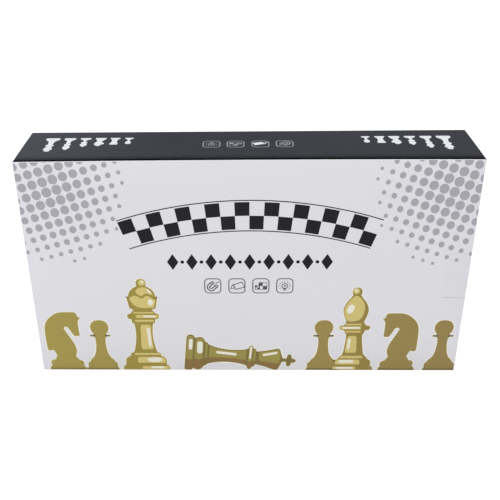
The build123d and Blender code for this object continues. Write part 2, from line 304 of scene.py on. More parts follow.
bm, inner_low, inner_high = board_box(skin_low, skin_high, skin_high.y)
slice_through(bm, 0, [lid_low.x + width * i / 16 for i in range(1, 16)])
slice_through(bm, 1, [lid_low.y + depth * i / 8 for i in range(1, 8)] + [lid_high.y - TURN_IN])
slice_through(bm, 2, [height * i / 8 for i in range(1, 8)])
for face in bm.faces:
    centre = face.calc_center_median()
    inside = (abs(centre.x) < inner_high.x + ON_PLANE and centre.y > inner_low.y - ON_PLANE
        and inner_low.z - ON_PLANE < centre.z < inner_high.z + ON_PLANE)
    if inside:
        face.material_index = 2 if centre.y < lid_high.y - TURN_IN else 1
    else:
        face.material_index = 0 if centre.y < skin_low.y + 0.35 * FOLD_RADIUS else 1
for v in bm.verts:
    v.co = settle(v.co)
printed_lid = finish_mesh("printed_lid", bm, (white_paper, black_paper, liner_paper), "lid")
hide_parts("lid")


# Print on the lid: flat films of ink on the paper, drawn in millimetres from the face's foot.
# Each colour is its own film, about a hundredth of a millimetre over the one beneath it.
INK = 0.012 * MM
FACE_EDGE = 0.6
black_ink = art_paper("black_ink", "#202026", 0.08, gloss=0.08)
grey_ink = art_paper("grey_ink", "#a5a4ab", 0.03)
line_ink = art_paper("line_grey_ink", "#57565d", 0.03, gloss=0.15)
cream_ink = art_paper("cream_trap_ink", "#ece9d8", 0.02)
white_ink = art_paper("white_ink", "#d9dade", 0.02)
pale_line_ink = art_paper("pale_line_ink", "#8c8d93", 0.02, gloss=0.25)


def through(points, steps=5):
    """A smooth line through points. A point with a third value is a corner."""
    knots = [Vector(p[:2]) for p in points for _ in p[1:]]
    ends = [knots[0], *knots, knots[-1]]
    line = [knots[0]]
    for a, b, c, d in zip(ends, ends[1:], ends[2:], ends[3:]):
        if (c - b).length < 1e-6:
            continue
        for step in range(1, steps + 1):
            t = step / steps
            line.append(b + (c - a) * (t / 2) + (2 * a - 5 * b + 4 * c - d) * (t * t / 2)
                + (3 * b - a - 3 * c + d) * (t ** 3 / 2))
    return line


def stroke(points, thick, closed=False):
    """A line of even thickness, as a chain of four-cornered shapes."""
    points = [Vector(p) for p in points]
    count = len(points)
    shapes, sides = [], []
    for i, p in enumerate(points):
        before = points[(i - 1) % count] if closed or i else p
        after = points[(i + 1) % count] if closed or i < count - 1 else p
        run = (after - before).normalized() * thick / 2
        sides.append((p + Vector((-run.y, run.x)), p - Vector((-run.y, run.x))))
    for i in range(count if closed else count - 1):
        (a, b), (c, d) = sides[i], sides[(i + 1) % count]
        shapes.append([a, c, d, b])
    return shapes


def ring_of(x, y, rx, ry=None, count=24, turn=0.0):
    """The outline of a disc or an ellipse."""
    ry = rx if ry is None else ry
    around = [2 * pi * i / count for i in range(count)]
    spin = Matrix.Rotation(turn, 2)
    return [Vector((x, y)) + spin @ Vector((rx * cos(t), ry * sin(t))) for t in around]


def pill(start, end, thick):
    """The outline of a stroke with round ends, for the highlights on a figure."""
    start, end = Vector(start), Vector(end)
    lean = atan2(end.y - start.y, end.x - start.x)
    return [centre + Vector((cos(turn + i * pi / 6), sin(turn + i * pi / 6))) * thick / 2
        for centre, turn in ((end, lean - pi / 2), (start, lean + pi / 2)) for i in range(7)]


def print_film(name, shapes, paint, layer, on_top=False):
    """Lays shapes down as one film of ink, cut off where the panel folds. On the face y is the
    height, and on the top it is the distance towards the back."""
    bm = bmesh.new()
    lift = (1 + layer) * INK
    for shape in shapes:
        corners = [p for i, p in enumerate(shape) if (Vector(p) - Vector(shape[i - 1])).length > 1e-4]
        if on_top:
            places = [(p[0] * MM, p[1] * MM, skin_high.z + lift) for p in corners]
        else:
            places = [(p[0] * MM, skin_low.y - lift, p[1] * MM) for p in corners]
        bm.faces.new([bm.verts.new(place) for place in places])
    bm.normal_update()
    outward = Vector((0, 0, 1)) if on_top else Vector((0, -1, 0))
    bmesh.ops.reverse_faces(bm, faces=[f for f in bm.faces if f.normal.dot(outward) < 0])
    bmesh.ops.triangulate(bm, faces=bm.faces, ngon_method="EAR_CLIP")
    side = width / 2 - FACE_EDGE * MM
    limits = [(0, side, 1), (0, -side, -1)]
    if not on_top:
        limits += [(2, height - FACE_EDGE * MM, 1), (2, FACE_EDGE * MM, -1)]
    for axis, place, sign in limits:
        slice_through(bm, axis, [place], drop=sign)
    for v in bm.verts:
        v.co = settle(v.co)
    make_object(name, bm, (paint,), "lid")


# Two fading fields of grey halftone dots run off the upper corners of the face. Each is a dot
# of the screen, its steps down and across, the point round which the dots are largest, and the
# smallest radius that printed. The dots fade a little sooner across than down.
DOT_FIELDS = (("left_dots", (-159.8, 174.1), (2.50, -9.73), (9.14, 2.63), (-170, 192.5), 1.615),
    ("right_dots", (155.9, 186.4), (-2.84, -9.55), (-9.04, 3.16), (176.4, 191.2), 1.45))
DOT_RADIUS, DOT_FADE, DOT_FALL, DOT_STRETCH = 4.55, 83.9, 1.69, 0.903
DOT_WIDE, DOT_TALL, DOTS_SIDE, DOTS_TOP = 0.96, 1.06, 200, 219
for name, first, down, across, peak, smallest in DOT_FIELDS:
    dots = []
    for i in range(-11, 12):
        for j in range(-11, 12):
            dot = Vector(first) + Vector(down) * i + Vector(across) * j
            off = Vector((dot.x - peak[0], DOT_STRETCH * (dot.y - peak[1])))
            radius = DOT_RADIUS * (1 - min(1.0, off.length / DOT_FADE) ** DOT_FALL)
            on_face = abs(dot.x) < DOTS_SIDE + radius and dot.y < DOTS_TOP + radius
            if radius > smallest and on_face:
                dots.append(ring_of(dot.x, dot.y, DOT_WIDE * radius, DOT_TALL * radius))
    print_film(name, dots, grey_ink, 0)

# An arched chequered band stands across the face, with a row of lozenges under it.
BAND_CENTRE, BAND_RADIUS, BAND_SQUARE = Vector((1.8, -181)), 361.9, 13.2
BAND_SQUARES, BAND_HALF_ANGLE, BAND_LINE, BAND_LINE_GAP = 18, 0.328, 1.0, 1.6
checks = []
for row in range(2):
    outer, inner = (BAND_RADIUS - BAND_SQUARE * k for k in (row, row + 1))
    for column in range(BAND_SQUARES):
        if (row + column) % 2 == 0:
            turns = [BAND_HALF_ANGLE * (2 * (column + k / 4) / BAND_SQUARES - 1) for k in range(5)]
            edge = [(outer, t) for t in turns] + [(inner, t) for t in reversed(turns)]
            checks.append([BAND_CENTRE + Vector((r * sin(t), r * cos(t))) for r, t in edge])
for radius in (BAND_RADIUS + BAND_LINE_GAP, BAND_RADIUS - 2 * BAND_SQUARE - BAND_LINE_GAP):
    turns = [BAND_HALF_ANGLE * (k / 24 - 1) for k in range(49)]
    checks += stroke([BAND_CENTRE + Vector((radius * sin(t), radius * cos(t))) for t in turns],
        BAND_LINE)
print_film("chequered_band", checks, black_ink, 0)
LOZENGES, LOZENGE_PITCH, LOZENGE_HALF_WIDE, LOZENGE_HALF_TALL = 9, 17.4, 5.2, 8.2
LOZENGE_MIDDLE, LOZENGE_HEIGHT, LOZENGE_DOT = 2.1, 121.4, 1.7
lozenges = []
for i in range(LOZENGES):
    x = LOZENGE_MIDDLE + LOZENGE_PITCH * (i - (LOZENGES - 1) / 2)
    lozenges.append([(x + sx * LOZENGE_HALF_WIDE, LOZENGE_HEIGHT + sz * LOZENGE_HALF_TALL)
        for sx, sz in ((-1, 0), (0, -1), (1, 0), (0, 1))])
    if i:
        lozenges.append(ring_of(x - LOZENGE_PITCH / 2, LOZENGE_HEIGHT, LOZENGE_DOT))
print_film("lozenge_row", lozenges, black_ink, 0)


# Four pictograms in rounded frames: magnet, folding board, two board sizes and a bright idea.
# They stand on the face and again, turned round, on the top.
def rounded_outline(low_x, high_x, low_z, high_z, radius, count=4):
    """An upright oblong with rounded corners."""
    left, right, lower, upper = low_x + radius, high_x - radius, low_z + radius, high_z - radius
    outline = []
    for quarter, (x, z) in enumerate(((right, upper), (left, upper), (left, lower), (right, lower))):
        for k in range(count + 1):
            turn = pi / 2 * (quarter + k / count)
            outline.append((x + radius * cos(turn), z + radius * sin(turn)))
    return outline


def magnet_sign():
    outer = through([(-0.5, 4.8, 1), (-4.2, 1.2), (-5, -1.4), (-4, -4), (-1.4, -5.2), (1, -4.2),
        (4.8, -0.2, 1)], 3)
    inner = through([(2.9, 1.4, 1), (0.1, -1.8), (-1.3, -2.7), (-2.8, -1.9), (-2.7, -0.6),
        (1.2, 2.9, 1)], 3)
    shapes = stroke(outer + inner, 1.1, closed=True)
    shapes += stroke([(-2, 3.3), (0, 1.6)], 0.8) + stroke([(3.3, -1.6), (1.7, 0.1)], 0.8)
    return shapes + stroke([(2.5, 3), (4.1, 3.5)], 1.0) + stroke([(4.6, 3.5), (5.6, 4.5)], 1.0)


def board_sign(solid=False):
    near = [Vector(p) for p in ((-1.1, -3.9), (7, -1.2), (4.7, 4.1), (-3.1, 1.2))]
    flap = [Vector(p) for p in ((-5.8, -3.1), (-3.6, 1.5), (-1.8, -2.5))]
    shapes = [near] if solid else stroke(near, 1.1, closed=True)
    return shapes + stroke(flap, 1.35, closed=True)


def sizes_sign():
    shapes = []
    for x, half in ((-3.3, 2), (1.8, 3.6)):
        z = half - 3.7
        square = [(x - half, z - half), (x + half, z - half), (x + half, z + half),
            (x - half, z + half)]
        shapes += stroke(square, 0.75, closed=True)
        shapes += [[(x - half, z), (x, z), (x, z + half), (x - half, z + half)],
            [(x, z - half), (x + half, z - half), (x + half, z), (x, z)]]
    return shapes


def lamp_sign():
    shapes = stroke(ring_of(0, -0.1, 2.6, count=16), 0.8, closed=True)
    shapes += stroke(ring_of(0, -0.1, 0.9, count=10), 0.6, closed=True)
    shapes += [[(-1.7, -3.7), (1.7, -3.7), (1.7, -2.8), (-1.7, -2.8)],
        [(-1.2, -5), (1.2, -5), (1.5, -4.2), (-1.5, -4.2)]]
    for k in range(9):
        turn = radians(-30 + k * 30)
        way = Vector((cos(turn), sin(turn)))
        shapes += stroke([Vector((0, -0.1)) + way * 3.9, Vector((0, -0.1)) + way * 5.6], 0.6)
    return shapes


def at(shapes, x, y, turned=False):
    """Moves shapes to a place, and may turn them upside down."""
    way = -1 if turned else 1
    return [[Vector((x + way * p[0], y + way * p[1])) for p in shape] for shape in shapes]


FACE_SIGN_HEIGHT, TOP_SIGN_PLACE, TOP_BOARD_X = 96.2, 2.4, 11.8
frame_line = stroke(rounded_outline(-7.4, 7.4, -7.6, 7.6, 3.6), 0.95, closed=True)
signs = [magnet_sign(), board_sign(), sizes_sign(), lamp_sign()]
face_signs, top_signs = [], []
for sign, x in zip(signs, (-31.7, -9.6, 12.4, 34.3)):
    face_signs += at(frame_line + sign, x, FACE_SIGN_HEIGHT)
for sign, x in zip((signs[3], signs[2], signs[0]), (-31.5, -10.2, 33.2)):
    top_signs += at(frame_line + sign, x, TOP_SIGN_PLACE, turned=True)
top_signs += at(frame_line, TOP_BOARD_X, TOP_SIGN_PLACE)
print_film("face_pictograms", face_signs, line_ink, 0)
print_film("top_pictograms", top_signs, pale_line_ink, 0, on_top=True)
solid_board = at(board_sign(True), TOP_BOARD_X, TOP_SIGN_PLACE + 1.0, turned=True)
print_film("top_board_pictogram", solid_board, white_ink, 0, on_top=True)


# Printed chessmen along the foot of the face: flat gold knights and pawns, a shaded queen and
# bishop, and a king lying on his side. They follow the box's print, which shows common men.
# Half outlines are (half width, height) in millimetres, from the foot to the crown.
PRINTED_PAWN = [(15.6, 0, 1), (15.7, 1.4), (15.0, 2.9), (12.7, 3.6, 1), (14.5, 5.0), (14.6, 7.2),
    (13.2, 9.2), (10.5, 10.0, 1), (11.4, 11.0), (10.9, 12.6, 1), (8.6, 14.8), (7.3, 17.2),
    (5.9, 21), (4.9, 28), (4.7, 33), (5.0, 38.4), (5.2, 42.2, 1), (7.5, 44.8), (8.7, 48.6),
    (8.5, 52.4), (6.2, 56.4), (3.2, 58), (0, 58.4)]
PRINTED_BISHOP = [(19.6, 0, 1), (19.8, 2.0), (18.9, 4.2), (16.8, 4.8, 1), (17.6, 8.5), (16.6, 11.6),
    (13.8, 13.0, 1), (13.4, 14.9), (11.2, 17.0, 1), (9.6, 20.4), (8.3, 30), (7.5, 38),
    (7.7, 42.4, 1), (9.0, 43.4), (9.6, 46.6, 1), (13.2, 47.0), (14.4, 49.3), (13.2, 51.5),
    (9.7, 51.9, 1), (9.3, 54.0), (7.6, 54.8, 1), (9.8, 60.2), (11.4, 66.2), (11.5, 70.4),
    (10.4, 74.4), (8.3, 78.4), (5.4, 82.4), (3.7, 85.2, 1), (4.5, 89.2), (3.2, 92.5), (0, 93.7)]
PRINTED_QUEEN = [(22.4, 0, 1), (22.8, 2.2), (21.8, 4.6), (19.6, 5.4, 1), (19.9, 10.2), (18.4, 14.4),
    (14.4, 16.8, 1), (14.2, 19.6), (11.4, 20.8, 1), (10.1, 25), (8.5, 34), (7.9, 42), (8.3, 50),
    (9.0, 54.4, 1), (10.8, 55.2), (11.0, 58.8, 1), (14.0, 59.6), (15.0, 62.2), (14.0, 64.8),
    (11.1, 65.2, 1), (10.6, 67.4), (8.8, 67.9, 1), (8.8, 70.2, 1), (11.8, 70.9), (12.6, 73),
    (13.6, 78.4), (14.5, 84.0, 1), (12.5, 82.2, 1), (12.3, 86.2), (10.6, 90.2), (7.4, 93.4),
    (3.8, 95.1, 1), (4.6, 98.6), (3.3, 101.9), (0, 103.1)]
PRINTED_KING = [(18.6, 0, 1), (20.6, 1.4), (21.3, 4.0), (20.2, 6.9), (17.0, 8.3, 1), (18.6, 10.2),
    (19.3, 12.4), (18.6, 15.4), (16.4, 17.4), (14.2, 18.3, 1), (13.4, 20.4), (11.6, 21.7, 1),
    (10.0, 25.6), (8.3, 32), (7.3, 40), (7.5, 47), (8.2, 53.5), (9.2, 57.8), (10.4, 60.2, 1),
    (12.8, 60.8), (14.2, 62.5), (13.4, 64.2), (11.2, 65.0, 1), (9.8, 67.4), (7.2, 68.3, 1),
    (7.8, 70.4), (9.4, 77), (11.2, 83), (12.8, 87.6), (12.4, 89.8), (9.4, 91.4), (5.0, 92.9),
    (2.2, 93.7, 1), (1.8, 96.4), (1.8, 98.0, 1), (4.2, 98.1), (6.4, 98.6), (7.2, 100.2),
    (6.6, 101.6), (4.6, 102.4), (2.2, 102.5, 1), (2.3, 104.2), (1.7, 106.2), (0, 107)]
# The knight looks to the right. His outline runs once round, from the foot's left end.
PRINTED_KNIGHT = [(-17.8, 0, 1), (17.5, 0, 1), (17.7, 1.8), (17.0, 3.3), (14.4, 4.2, 1),
    (16.0, 6.2), (15.6, 9.2), (13.6, 10.9), (10.4, 11.3, 1), (10.9, 12.4), (10.3, 13.6),
    (9.9, 14.4), (8.6, 15.4, 1), (9.2, 18.1), (10.1, 21.2), (10.1, 25), (8.6, 30.8), (4.3, 39.9),
    (0.7, 47.2), (0.4, 48.9), (1.9, 50.4), (4.3, 49.6), (6.1, 46.3), (9.1, 40.5, 1), (10.1, 39.8),
    (13.8, 39.8), (14.8, 41.5), (14.5, 46.9), (14.4, 55.5), (15.6, 58.5), (17.1, 60.7, 1),
    (14.9, 61.3), (14.3, 63.3), (13.2, 65.9), (10.6, 66.7), (4, 66.8), (-1.4, 66.6), (-5.4, 65.5),
    (-9.8, 62.7), (-13.8, 58.9), (-16.7, 54), (-18, 48.2), (-18.3, 38.8), (-18.1, 29.2),
    (-17.7, 24.2), (-16, 22.6), (-14, 23.2), (-12.5, 23.7, 1), (-10.8, 20.5), (-9.2, 16.1, 1),
    (-11.0, 14.3), (-11.0, 12.0, 1), (-14.0, 11.7), (-16.1, 9.8), (-16.2, 6.8), (-14.2, 4.8, 1),
    (-17.1, 3.9), (-17.9, 1.9), (-17.8, 0)]


def gold(name, left_hex, right_hex):
    """Gold-brown printing ink, lighter and greener towards the left."""
    made = art_paper(name, "#ffffff", 0.03)
    tree = made.node_tree
    tone = tree.nodes["Principled BSDF"].inputs["Base Color"].links[0].from_node
    place = add(tree, "TexCoord").outputs["Object"]
    x = add(tree, "SeparateXYZ", {"Vector": place}).outputs["X"]
    across = add(tree, "MapRange", {"Value": x, "From Min": -0.19, "From Max": 0.19})
    drift = add(tree, "Mix", {0: across, 6: colour(left_hex), 7: colour(right_hex)},
        data_type="RGBA")
    plug(tree, tone, {6: drift})
    return made


flat_gold = gold("flat_gold_ink", "#a29249", "#927e48")
deep_gold = gold("deep_gold_ink", "#9e8e3e", "#8d793c")
light_gold = gold("light_gold_ink", "#d2c177", "#ccba74")
foot_gold = gold("foot_gold_ink", "#7d7139", "#75683d")
collar_gold = gold("collar_gold_ink", "#6b6640", "#6a6042")
king_gold = gold("king_gold_ink", "#796b38", "#796b38")
king_light = gold("king_light_ink", "#988c46", "#988c46")
king_shade = gold("king_shade_ink", "#866a3c", "#866a3c")
highlight = art_paper("highlight_ink", "#e6e4d4", 0.02)


def mirrored(half):
    """A whole outline from a half outline, foot to crown and down again."""
    line = through(half, 5)
    return line + [Vector((-p.x, p.y)) for p in reversed(line) if p.x > 1e-6]


def half_width_at(half, y):
    """The widest that a smoothed half outline is at a height."""
    widest = 0.0
    for a, b in zip(half, half[1:]):
        if min(a.y, b.y) <= y <= max(a.y, b.y):
            share = 0.5 if abs(b.y - a.y) < 1e-6 else (y - a.y) / (b.y - a.y)
            widest = max(widest, a.x + (b.x - a.x) * share)
    return widest


def band(half, low, high, left, right, soft=1.0, gap=0.7):
    """A patch of light or shade across a turned figure, from one share of its width to another,
    with a line of the ground colour left round it and its corners eased."""
    count = 8
    heights = [low + (high - low) * k / count for k in range(count + 1)]
    sides = []
    for share in (left, right):
        side = []
        for k, y in enumerate(heights):
            eased = soft if k in (0, count) else 0.0
            reach = share * half_width_at(half, y)
            edge = min(abs(reach), half_width_at(half, y) - gap) if abs(share) > 0.9 else abs(reach)
            sign = 1 if share >= 0 else -1
            inward = -eased if share == max(left, right) else eased
            side.append(Vector((sign * edge + inward, y)))
        sides.append(side)
    return sides[0] + list(reversed(sides[1]))


def stand(shapes, x, flip=1, size=1.0):
    """Stands shapes on the foot line of the face, and may mirror or scale them."""
    return [[Vector((x + flip * size * p.x, FOOT_LINE + size * p.y)) for p in shape]
        for shape in shapes]


FOOT_LINE, TRAP = 0.7, 0.95
PAWNS, PAWN_SIZE, PAWN_FOOT = (-140.8, 72.3, 184.8), 0.99, 15.4
KNIGHTS = ((-175.2, 1, 1.0, 17.4), (143.5, -1, 0.98, 17.2))
pawn = mirrored(PRINTED_PAWN)
knight = through(PRINTED_KNIGHT, 4)[:-1]
wings = pill((-9.0, 40.1), (9.0, 40.1), 1.9)
collars, flats = [], []
for x in PAWNS:
    collars += stand([wings], x)
    flats += stand([pawn], x, size=PAWN_SIZE)
for x, way, size, half_foot in KNIGHTS:
    flats += stand([knight], x, way, size)
outlines = collars + flats
foot_places = [(x, PAWN_FOOT) for x in PAWNS] + [(place[0], place[3]) for place in KNIGHTS]
feet = [[Vector((x - half, 0)), Vector((x + half, 0)), Vector((x + half, 1.7)),
    Vector((x + half - 1.4, 2.8)), Vector((x - half + 1.4, 2.8)), Vector((x - half, 1.7))]
    for x, half in foot_places]
print_film("collar_wings", collars, collar_gold, 1)
print_film("flat_figures", flats, flat_gold, 2)
print_film("flat_figure_feet", feet, foot_gold, 3)

# Queen: lit from the right. Bishop: lit from the left, in front of a pawn.
queen_half, bishop_half = through(PRINTED_QUEEN, 5), through(PRINTED_BISHOP, 5)
queen_x, bishop_x = -98.1, 101.2
deep = stand([mirrored(PRINTED_QUEEN)], queen_x) + stand([mirrored(PRINTED_BISHOP)], bishop_x)
light = [band(queen_half, *patch) for patch in ((0.8, 4.3, -0.18, 0.96), (8.2, 15.2, -0.42, 0.95),
    (17.6, 19.8, -0.76, 0.93, 0.4), (24.2, 52.6, -0.42, 0.84, 1.4), (56.0, 58.2, -0.74, 0.9, 0.3),
    (60.4, 63.8, -0.46, 0.95), (65.4, 67.0, -0.8, 0.9, 0.3))]
cup = through([(-11.6, 82.4, 1), (-11.0, 79.6), (-8.6, 75.6), (-4.8, 72.6), (0.6, 71.4),
    (6.6, 71.5), (10.4, 71.9, 1), (11.6, 75.0), (12.6, 80.0, 1), (9.9, 81.6), (7.8, 83.6),
    (4.8, 84.8), (2.4, 83.6), (0.0, 81.8), (-3.0, 83.6), (-6.0, 85.0), (-9.0, 84.4),
    (-11.6, 82.4)], 3)
dome = through([(-5.0, 87.6, 1), (-5.0, 91.0), (-1.4, 93.9), (4.0, 93.6), (8.4, 90.0),
    (10.8, 85.4, 1), (8.0, 86.2), (4.8, 87.2), (1.8, 86.0), (-0.4, 84.4), (-2.8, 86.0),
    (-5.0, 87.6)], 3)
light += [cup[:-1], dome[:-1], ring_of(0.7, 99.0, 3.2)]
light = stand(light, queen_x)
shine = stand([pill((5.4, 2.6), (16.0, 2.6), 2.6), ring_of(8.4, 11.9, 7.3, 3.0),
    pill((4.0, 47.6), (5.0, 28.8), 3.0), pill((1.0, 62.1), (10.8, 62.1), 1.9),
    ring_of(7.7, 77.7, 2.5, 3.4), pill((5.8, 91.4), (8.2, 88.4), 1.9), ring_of(1.3, 99.8, 1.3)],
    queen_x)
bishop_light = [band(bishop_half, *patch) for patch in ((0.8, 4.0, -0.96, 0.18),
    (6.4, 12.4, -0.95, 0.4), (13.9, 16.8, -0.93, 0.72, 0.4), (20.4, 40.0, -0.86, 0.34, 1.4),
    (43.9, 45.8, -0.92, 0.62, 0.3), (47.4, 50.9, -0.95, 0.42), (52.1, 53.9, -0.92, 0.66, 0.3))]
mitre = through([(-9.5, 60.4), (-10.7, 65.6), (-10.7, 70.6), (-8.7, 75.6), (-4.8, 81.4),
    (-1.0, 84.8), (2.6, 83.2), (6.0, 78.8), (7.8, 74.2), (8.0, 69), (6.4, 62), (2.6, 57.6),
    (-4.2, 56.2), (-7.7, 57.6), (-9.5, 60.4)], 3)
bishop_light += [mitre[:-1], ring_of(-0.9, 89.8, 3.2)]
light += stand(bishop_light, bishop_x)
shine += stand([pill((-14.8, 2.4), (0.0, 2.4), 2.3), pill((-11.6, 10.2), (-0.6, 10.2), 3.7),
    pill((-4.3, 35.6), (-4.9, 25.8), 2.5), pill((-10.6, 49.2), (4.2, 49.2), 1.8),
    ring_of(-5.0, 70.2, 3.2, 5.2, turn=-0.35), ring_of(-1.2, 90.4, 1.3)], bishop_x)
outlines += deep
print_film("deep_gold_figures", deep, deep_gold, 3)
print_film("light_gold_patches", light, light_gold, 4)
print_film("highlights", shine, highlight, 5)

# King: lying on his side with his foot to the left, partly below the edge of the face.
KING_FOOT, KING_LEAN = Vector((-59.7, 21.3)), 0.0943
along = Vector((cos(KING_LEAN), -sin(KING_LEAN)))
aside = Vector((sin(KING_LEAN), cos(KING_LEAN)))


def lay_down(shapes):
    """Lays upright shapes along the king's axis."""
    return [[KING_FOOT + along * p.y + aside * p.x for p in shape] for shape in shapes]


king_half = through(PRINTED_KING, 5)
king_body = lay_down([mirrored(PRINTED_KING)])
steps = ((0.8, 7.2), (9.0, 17.0), (18.9, 21.0), (22.8, 58.6), (61.0, 64.4), (65.8, 67.6),
    (71.2, 91.4))
king_lit = lay_down([band(king_half, low, high, -0.36, 0.94, gap=1.0, soft=0.5)
    for low, high in steps])
king_dark = lay_down([band(king_half, low, high, -0.94, -0.36, gap=0.9, soft=0.3)
    for low, high in steps])
king_shine = lay_down([pill((14.6, 4.3), (5.6, 4.5), 3.6), pill((11.6, 13.3), (2.6, 13.7), 5.4),
    pill((3.2, 31.0), (2.3, 48.0), 3.0), pill((12.2, 62.6), (-0.8, 62.6), 2.0),
    pill((4.3, 75.8), (7.7, 87.2), 2.8)])
outlines += king_body
trap_lines = [part for shape in outlines for part in stroke(shape, 2 * TRAP, True)]
print_film("figure_trap_lines", trap_lines, cream_ink, 0)
print_film("lying_king", king_body, king_gold, 1)
print_film("lying_king_lit", king_lit, king_light, 2)
print_film("lying_king_shaded", king_dark, king_shade, 2)
print_film("lying_king_highlights", king_shine, highlight, 3)

# The same six men in white along the top, feet to the back, falling in size towards the middle.
# They stand on thick round feet. Outlines are shares of the foot's half width and of the length,
# and each man is (outline, foot's middle, foot's half width, length).
TOP_FOOT = [(0.9, 0, 1), (1.0, 0.07), (0.86, 0.16)]
TOP_KING = mirrored(TOP_FOOT + [(0.5, 0.24), (0.38, 0.36), (0.34, 0.5, 1), (0.58, 0.54),
    (0.54, 0.6), (0.36, 0.62), (0.42, 0.7), (0.62, 0.82), (0.46, 0.87), (0.3, 0.88), (0.42, 0.92),
    (0.3, 0.97), (0, 1)])
TOP_QUEEN = mirrored(TOP_FOOT + [(0.46, 0.24), (0.36, 0.34), (0.34, 0.5, 1), (0.56, 0.54),
    (0.54, 0.6), (0.42, 0.62), (0.5, 0.72), (0.68, 0.84, 1), (0.4, 0.88), (0.3, 0.96), (0, 1)])
TOP_BISHOP = mirrored(TOP_FOOT + [(0.4, 0.24), (0.22, 0.34), (0.2, 0.42, 1), (0.56, 0.48),
    (0.54, 0.56), (0.4, 0.6), (0.6, 0.7), (0.56, 0.82), (0.28, 0.9), (0, 1)])
TOP_KNIGHT = through([(-1.0, 0, 1), (1.0, 0, 1), (0.98, 0.1), (0.84, 0.2), (0.58, 0.32),
    (0.6, 0.46), (0.85, 0.64), (0.86, 0.8), (0.5, 0.94), (0.05, 1.0), (-0.26, 0.93), (-0.4, 0.83),
    (-0.8, 0.77), (-0.84, 0.65), (-0.5, 0.55), (-0.34, 0.46), (-0.48, 0.36), (-0.8, 0.22),
    (-0.98, 0.1), (-1.0, 0)])[:-1]
TOP_ROOK = mirrored(TOP_FOOT + [(0.64, 0.28), (0.52, 0.42), (0.54, 0.6), (0.76, 0.82), (0.74, 0.98),
    (0, 1)])
TOP_PAWN = mirrored(TOP_FOOT + [(0.4, 0.27), (0.26, 0.38), (0.28, 0.52), (0.58, 0.64), (0.66, 0.82),
    (0.46, 0.96), (0, 1)])
TOP_ROW = ((TOP_KING, 175.8, 6.5, 33.0), (TOP_QUEEN, 160.2, 5.25, 29.2),
    (TOP_BISHOP, 145.9, 5.0, 22.6), (TOP_KNIGHT, 132.1, 4.95, 20.3), (TOP_ROOK, 119.1, 4.6, 17.0),
    (TOP_PAWN, 106.5, 3.9, 15.9))
TOP_MIDDLE, TOP_FOOT_Y = -0.2, 20.2
tops = []
for side in (-1, 1):
    for outline, x, half_foot, length in TOP_ROW:
        tops.append([Vector((TOP_MIDDLE + side * (x + p.x * half_foot), TOP_FOOT_Y - p.y * length))
            for p in outline])
print_film("top_men", tops, white_ink, 0, on_top=True)


# Seal: a length of clear packing tape over the right-hand fold, from the face round to the back.
# The film hardly shows on the white face and has a faint sheen on the black wall. Its two cut
# ends catch the light as thin lines.
tape_low, tape_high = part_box("sealing_tape")
TAPE_ON_WHITE, TAPE_ON_BLACK, LOWER_END, UPPER_END = 0.012, 0.07, 0.32, 0.12
clear_tape, tree, shader, mm = material("clear_packing_film")
axes = add(tree, "SeparateXYZ", {"Vector": mm}).outputs
middle_z = (tape_low.z + tape_high.z) / 2 / MM
half_z = (tape_high.z - tape_low.z) / 2 / MM
off_middle = add(tree, "Math", {0: axes["Z"], 1: middle_z}, operation="SUBTRACT")
from_end = add(tree, "Math", {0: off_middle}, operation="ABSOLUTE")
round_fold = add(tree, "MapRange", {"Value": axes["X"], "From Min": tape_high.x / MM - 0.8,
    "From Max": tape_high.x / MM, "To Min": TAPE_ON_WHITE, "To Max": TAPE_ON_BLACK})
cut = add(tree, "MapRange", {"Value": off_middle, "To Min": LOWER_END, "To Max": UPPER_END})
at_end = add(tree, "MapRange", {"Value": from_end, "From Min": half_z - 0.8,
    "From Max": half_z - 0.5, "To Min": round_fold, "To Max": cut})
ripple = add(tree, "TexNoise", {"Vector": mm, "Scale": 0.09, "Detail": 2.0})
slack = add(tree, "Bump", {"Height": ripple, "Strength": 0.35, "Distance": 0.6 * MM})
plug(tree, shader, {"Alpha": at_end, "Normal": slack, "Base Color": colour("#b2b2b0"),
    "Roughness": 0.16, "IOR": 1.49})


def loft(bm, rows, closed=True):
    """Joins rows of corners with four-sided faces. A last row of one corner is a tip."""
    for low_row, high_row in zip(rows, rows[1:]):
        for k in range(0 if closed else 1, len(low_row)):
            over = high_row if len(high_row) == 1 else [high_row[k], high_row[k - 1]]
            bm.faces.new([low_row[k - 1], low_row[k], *over])


bm = bmesh.new()
corner = Vector((tape_high.x - FOLD_RADIUS, tape_low.y + FOLD_RADIUS))
way = [Vector((tape_low.x + (corner.x - tape_low.x) * k / 4, tape_low.y)) for k in range(5)]
way += [corner + Vector((sin(t), -cos(t))) * FOLD_RADIUS
    for t in [pi / 2 * k / 4 for k in range(1, 5)]]
way += [Vector((tape_high.x, corner.y + (tape_high.y - corner.y) * k / 8)) for k in range(1, 9)]
rows = []
for k in range(9):
    z = tape_low.z + (tape_high.z - tape_low.z) * k / 8
    rows.append([bm.verts.new((p.x, p.y, z)) for p in way])
loft(bm, rows, closed=False)
tape = finish_mesh("tape_film", bm, (clear_tape,), "lid")
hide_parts("sealing_tape")


# Base tray: the same grey board wrapped in plain black paper. It closes the back of the carton,
# and its low walls stand just inside the lid's.
plain_black = art_paper("plain_black_wrap", "#28282b", 0.08, 0.6, 0.62, 0.2)
tray_low, tray_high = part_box("base_tray")
bm = board_box(tray_low, tray_high, tray_low.y)[0]
tray = finish_mesh("black_base_tray", bm, (plain_black,), "base")
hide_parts("base_tray")


# Cradle: white expanded polyethylene foam, sawn from plank and glued into the tray. A pad behind
# the board, a rest under it and a cheek at each end, with the closed cells open on the cut faces.
CELL_MM = 1.6
SAWN_ROUND = 1.1 * MM
BOARD_CLEARANCE = 0.3 * MM


